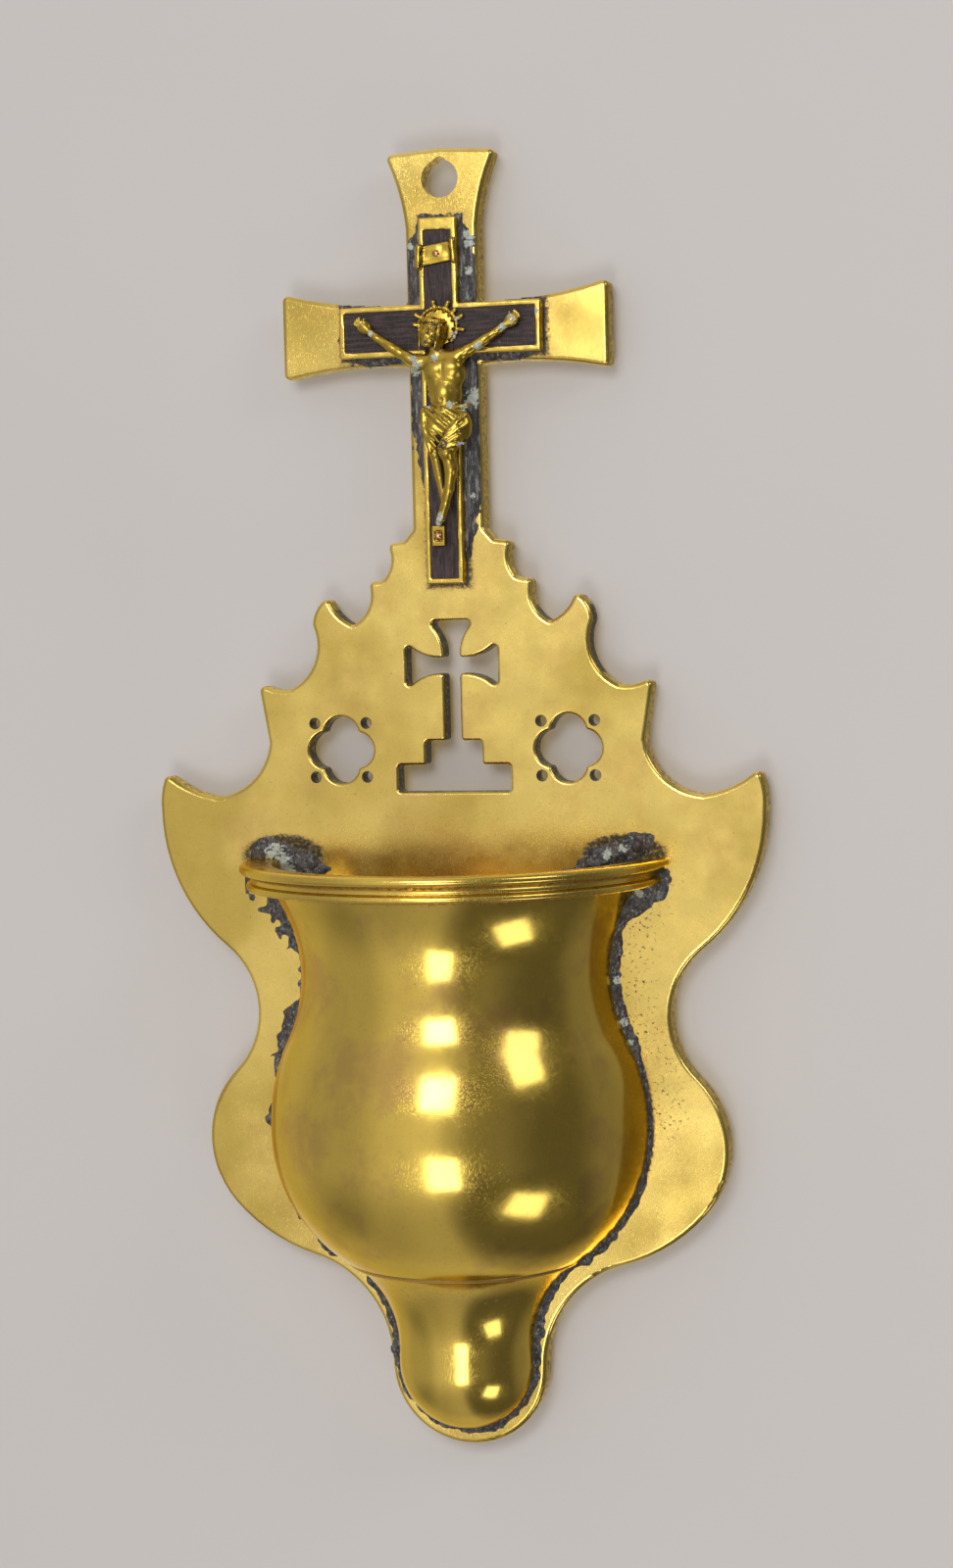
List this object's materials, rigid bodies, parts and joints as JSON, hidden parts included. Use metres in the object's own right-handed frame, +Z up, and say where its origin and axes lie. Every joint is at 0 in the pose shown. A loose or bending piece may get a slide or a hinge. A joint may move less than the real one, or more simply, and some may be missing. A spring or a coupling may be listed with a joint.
{
  "type": "holy water stoup",
  "caption": "Wall-hung brass holy water stoup: shaped and pierced backplate with an inlaid crucifix, a half-round water bowl with a moulded rim, and a ball pendant.",
  "frame": {"origin": "centre of the hanging hole on the back face of the backplate, in the plane of the wall", "axes": "+Z up, -Y away from the wall towards the viewer, +X to the viewer's right"},
  "size_m": [0.1208, 0.0455, 0.2485],
  "materials": {
    "plate_brass": "satin polished, worn",
    "bowl_brass": "satin polished, darker",
    "rim_brass": "polished",
    "pendant_brass": "polished",
    "tray_brass": "polished edges, tarnished sides",
    "figure_brass": "cast, worn bright, verdigris in the recesses",
    "rivet_brass": "worn",
    "solder": "dull grey, oxidised",
    "ebony": "dull, fine scratches"
  },
  "bodies": {
    "root": {"backplate": "plate_brass", "bowl": "bowl_brass", "rim_moulding": "rim_brass", "pendant": "pendant_brass", "bowl_solder_left": "solder", "bowl_solder_right": "solder", "pendant_solder": "solder", "collar_solder": "solder", "corner_solder_left": "solder", "corner_solder_right": "solder", "crucifix_solder": "solder", "crucifix_tray": "tray_brass", "ebony_upright": "ebony", "ebony_arm_left": "ebony", "ebony_arm_right": "ebony", "titulus": "figure_brass", "nimbus": "figure_brass", "foot_bracket": "figure_brass", "corpus": "figure_brass", "titulus_rivet": "rivet_brass", "hand_rivet_left": "rivet_brass", "hand_rivet_right": "rivet_brass", "foot_rivet": "rivet_brass"}
  },
  "joints": []
}
